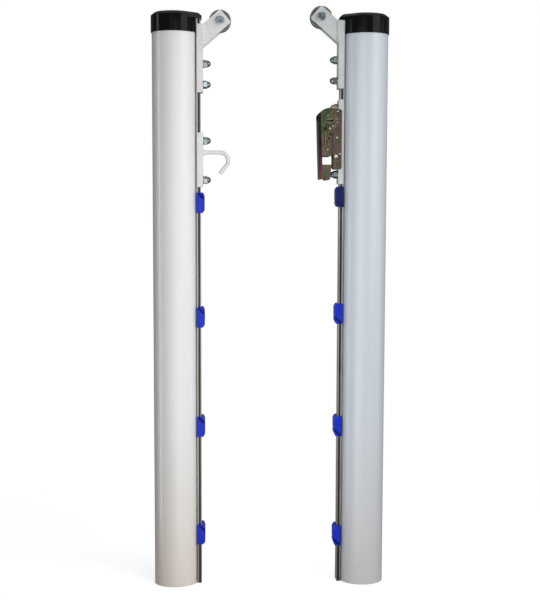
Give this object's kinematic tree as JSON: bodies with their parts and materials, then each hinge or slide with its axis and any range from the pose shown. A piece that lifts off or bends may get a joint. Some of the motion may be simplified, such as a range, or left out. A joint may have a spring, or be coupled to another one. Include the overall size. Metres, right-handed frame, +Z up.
{
  "type": "net post pair",
  "caption": "Pair of white oval net posts with black caps, T-tracks, blue sliding net clips, rope pulleys, a net hook and a ratchet tensioner.",
  "frame": {"origin": "on the floor, midway between the two posts", "axes": "+Z up, +X from the left post (hook) to the right post (ratchet), -Y towards the front"},
  "size_m": [0.639, 0.105, 1.5761],
  "materials": {
    "post_paint": "glossy white powder coat",
    "track_aluminium": "satin",
    "cap_plastic": "glossy black moulding",
    "bracket_paint": "white powder coat over welded steel",
    "zinc_plate": "bright blue-white zinc plating",
    "pulley_steel": "zinc-plated, dulled",
    "bronze": "plain sintered bronze",
    "yellow_zinc": "yellow passivated zinc, iridescent olive and pink",
    "plain_steel": "oiled",
    "clip_plastic": "royal blue moulding"
  },
  "bodies": {
    "posts": {"left_post_tube": "post_paint", "left_track": "track_aluminium", "left_track_rivets": "track_aluminium", "left_top_cap": "cap_plastic", "left_base_plug": "cap_plastic", "right_post_tube": "post_paint", "right_track": "track_aluminium", "right_track_rivets": "track_aluminium", "right_top_cap": "cap_plastic", "right_base_plug": "cap_plastic"},
    "left_pulley_bracket": {"left_bracket_channel": "bracket_paint", "left_bracket_arms": "bracket_paint", "left_bracket_studs": "zinc_plate", "left_bracket_washers": "zinc_plate", "left_bracket_nuts": "zinc_plate", "left_pulley_sleeve": "bronze", "left_axle_bolt": "zinc_plate", "left_axle_nut": "zinc_plate", "left_axle_washers": "zinc_plate"},
    "left_pulley": {"left_pulley_wheel": "pulley_steel"},
    "hook_bracket": {"hook_channel": "bracket_paint", "net_hook": "bracket_paint", "hook_studs": "zinc_plate", "hook_washers": "zinc_plate", "hook_nuts": "zinc_plate"},
    "right_pulley_bracket": {"right_bracket_channel": "bracket_paint", "right_bracket_arms": "bracket_paint", "right_bracket_studs": "zinc_plate", "right_bracket_washers": "zinc_plate", "right_bracket_nuts": "zinc_plate", "right_pulley_sleeve": "bronze", "right_axle_bolt": "zinc_plate", "right_axle_nut": "zinc_plate", "right_axle_washers": "zinc_plate"},
    "right_pulley": {"right_pulley_wheel": "pulley_steel"},
    "ratchet_base": {"ratchet_plate": "bracket_paint", "ratchet_frame": "yellow_zinc", "ratchet_studs": "zinc_plate", "ratchet_washers": "zinc_plate", "ratchet_nuts": "yellow_zinc", "frame_pins": "yellow_zinc", "lock_pawl_spring": "plain_steel"},
    "ratchet_spool": {"spool_halves": "plain_steel", "ratchet_wheels": "yellow_zinc", "spool_rings": "plain_steel"},
    "ratchet_lever": {"ratchet_handle": "yellow_zinc", "handle_pins": "yellow_zinc", "drive_pawl_spring": "plain_steel"},
    "lock_pawl_bar": {"lock_pawl": "yellow_zinc"},
    "drive_pawl_bar": {"drive_pawl": "yellow_zinc"},
    "left_clip_slider_1": {"left_clip_1": "clip_plastic"},
    "left_clip_slider_2": {"left_clip_2": "clip_plastic"},
    "left_clip_slider_3": {"left_clip_3": "clip_plastic"},
    "left_clip_slider_4": {"left_clip_4": "clip_plastic"},
    "right_clip_slider_1": {"right_clip_1": "clip_plastic"},
    "right_clip_slider_2": {"right_clip_2": "clip_plastic"},
    "right_clip_slider_3": {"right_clip_3": "clip_plastic"},
    "right_clip_slider_4": {"right_clip_4": "clip_plastic"}
  },
  "joints": [
    {"name": "left_pulley_bracket_height", "type": "slide", "parent": "posts", "child": "left_pulley_bracket", "axis": [0, 0, 1], "range_m": [-0.1, 0.013]},
    {"name": "left_pulley_spin", "type": "hinge", "parent": "left_pulley_bracket", "child": "left_pulley", "pos_m": [-0.1352, 0, 1.533], "axis": [0, 1, 0], "continuous": true},
    {"name": "hook_height", "type": "slide", "parent": "posts", "child": "hook_bracket", "axis": [0, 0, 1], "range_m": [-0.012, 0.09]},
    {"name": "right_pulley_bracket_height", "type": "slide", "parent": "posts", "child": "right_pulley_bracket", "axis": [0, 0, 1], "range_m": [-0.024, 0]},
    {"name": "right_pulley_spin", "type": "hinge", "parent": "right_pulley_bracket", "child": "right_pulley", "pos_m": [0.1352, 0, 1.546], "axis": [0, 1, 0], "continuous": true},
    {"name": "ratchet_height", "type": "slide", "parent": "posts", "child": "ratchet_base", "axis": [0, 0, 1], "range_m": [-0.004, 0.018]},
    {"name": "spool_spin", "type": "hinge", "parent": "ratchet_base", "child": "ratchet_spool", "pos_m": [0.158, 0, 1.27], "axis": [0, 1, 0], "continuous": true},
    {"name": "lever_swing", "type": "hinge", "parent": "ratchet_base", "child": "ratchet_lever", "pos_m": [0.158, 0, 1.27], "axis": [0, 1, 0], "range_deg": [0, 90]},
    {"name": "lock_pawl_slide", "type": "slide", "parent": "ratchet_base", "child": "lock_pawl_bar", "axis": [0, 0, 1], "range_m": [0, 0.007]},
    {"name": "drive_pawl_slide", "type": "slide", "parent": "ratchet_lever", "child": "drive_pawl_bar", "axis": [0, 0, 1], "range_m": [0, 0.007]},
    {"name": "left_clip_1_slide", "type": "slide", "parent": "posts", "child": "left_clip_slider_1", "axis": [0, 0, 1], "range_m": [-0.11, 0]},
    {"name": "left_clip_2_slide", "type": "slide", "parent": "posts", "child": "left_clip_slider_2", "axis": [0, 0, 1], "range_m": [-0.11, 0.11]},
    {"name": "left_clip_3_slide", "type": "slide", "parent": "posts", "child": "left_clip_slider_3", "axis": [0, 0, 1], "range_m": [-0.11, 0.11]},
    {"name": "left_clip_4_slide", "type": "slide", "parent": "posts", "child": "left_clip_slider_4", "axis": [0, 0, 1], "range_m": [-0.095, 0.11]},
    {"name": "right_clip_1_slide", "type": "slide", "parent": "posts", "child": "right_clip_slider_1", "axis": [0, 0, 1], "range_m": [-0.11, 0]},
    {"name": "right_clip_2_slide", "type": "slide", "parent": "posts", "child": "right_clip_slider_2", "axis": [0, 0, 1], "range_m": [-0.11, 0.11]},
    {"name": "right_clip_3_slide", "type": "slide", "parent": "posts", "child": "right_clip_slider_3", "axis": [0, 0, 1], "range_m": [-0.11, 0.11]},
    {"name": "right_clip_4_slide", "type": "slide", "parent": "posts", "child": "right_clip_slider_4", "axis": [0, 0, 1], "range_m": [-0.095, 0.11]}
  ]
}
